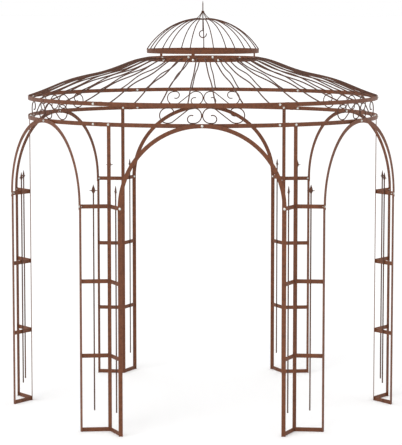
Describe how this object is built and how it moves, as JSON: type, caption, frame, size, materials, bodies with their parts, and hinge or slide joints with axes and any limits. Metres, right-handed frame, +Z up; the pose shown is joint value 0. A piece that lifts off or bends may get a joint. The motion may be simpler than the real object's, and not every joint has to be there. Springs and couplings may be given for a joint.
{
  "type": "round garden pavilion",
  "caption": "Open round steel garden pavilion: arches between V-shaped trellis piers carry two rings with scrollwork, a curved barred roof and a small dome with a spike and lamp hook.",
  "frame": {"origin": "on the ground, at the centre of the plan", "axes": "+Z up, -Y to the front arch, +X to the right-hand pier seen from the front"},
  "size_m": [2.9156, 2.682, 3.08],
  "materials": {
    "flat_bar": "rust-brown powder coat over galvanised steel, satin",
    "trellis": "rust-brown powder coat over galvanised steel, satin",
    "ring_bar": "rust-brown powder coat over galvanised steel, satin",
    "roof_bar": "rust-brown powder coat over galvanised steel, satin",
    "round_rod": "rust-brown powder coat over galvanised steel, satin"
  },
  "bodies": {
    "root": {"post_right": "flat_bar", "post_back_right": "flat_bar", "post_back_left": "flat_bar", "post_left": "flat_bar", "post_front_left": "flat_bar", "post_front_right": "flat_bar", "trellis_right_a": "trellis", "trellis_right_b": "trellis", "trellis_back_right_a": "trellis", "trellis_back_right_b": "trellis", "trellis_back_left_a": "trellis", "trellis_back_left_b": "trellis", "trellis_left_a": "trellis", "trellis_left_b": "trellis", "trellis_front_left_a": "trellis", "trellis_front_left_b": "trellis", "trellis_front_right_a": "trellis", "trellis_front_right_b": "trellis", "arch_back_right": "flat_bar", "arch_back": "flat_bar", "arch_back_left": "flat_bar", "arch_front_left": "flat_bar", "arch_front": "flat_bar", "arch_front_right": "flat_bar", "lower_ring_back_right": "ring_bar", "lower_ring_back": "ring_bar", "lower_ring_back_left": "ring_bar", "lower_ring_front_left": "ring_bar", "lower_ring_front": "ring_bar", "lower_ring_front_right": "ring_bar", "scrolls_back_right": "round_rod", "scrolls_back": "round_rod", "scrolls_back_left": "round_rod", "scrolls_front_left": "round_rod", "scrolls_front": "round_rod", "scrolls_front_right": "round_rod", "roof_back_right": "roof_bar", "roof_back": "roof_bar", "roof_back_left": "roof_bar", "roof_front_left": "roof_bar", "roof_front": "roof_bar", "roof_front_right": "roof_bar", "crown_ring": "ring_bar", "dome": "round_rod", "finial": "round_rod"}
  },
  "joints": []
}
